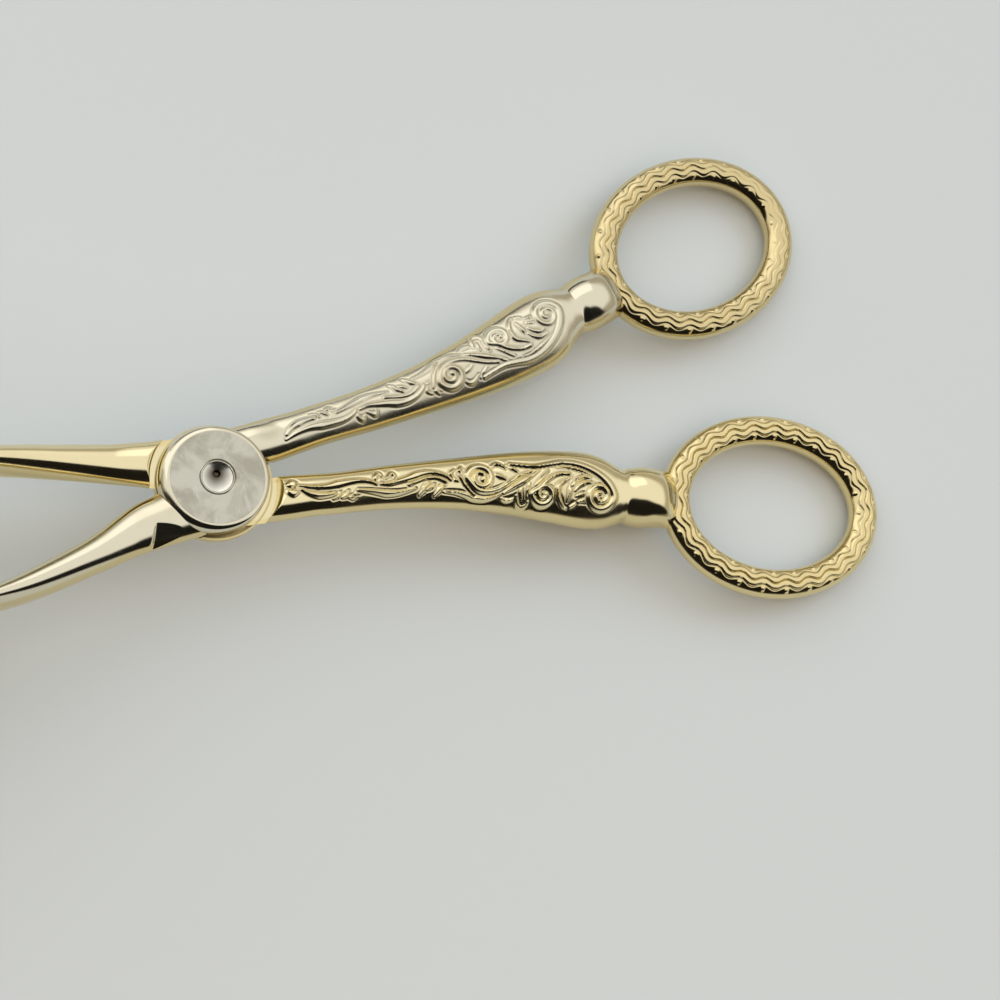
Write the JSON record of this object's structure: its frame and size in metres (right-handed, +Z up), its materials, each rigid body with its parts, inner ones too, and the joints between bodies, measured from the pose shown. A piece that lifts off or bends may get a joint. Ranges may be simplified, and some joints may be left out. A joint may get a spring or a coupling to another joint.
{
  "type": "serving tongs",
  "caption": "Scissor-type serving tongs: cast gold-plated arms with finger rings and scroll relief turn on a riveted pivot and carry pierced spade jaws",
  "frame": {"origin": "on the table under the pivot, which is also the middle of the tongs as they lie", "axes": "+X runs from the pivot to the finger rings, +Y to the upper arm's handle, +Z up from the table"},
  "size_m": [0.206, 0.0738, 0.0441],
  "materials": {
    "gold_plate": "polished plate",
    "pale_gold_plate": "polished plate",
    "ground_nickel": "ground",
    "plain_brass": "polished"
  },
  "bodies": {
    "lower": {"lower_arm": "gold_plate", "lower_jaw": "gold_plate", "lower_jaw_rivets": "plain_brass", "pivot_washer": "plain_brass"},
    "upper": {"upper_arm": "pale_gold_plate", "upper_jaw": "pale_gold_plate", "upper_jaw_rivets": "plain_brass", "pivot_rivet": "ground_nickel"}
  },
  "joints": [
    {"name": "pivot", "type": "hinge", "parent": "lower", "child": "upper", "pos_m": [0, 0, 0.01324], "axis": [0.1092, 0, 0.994], "range_deg": [-7.75, 74]}
  ]
}
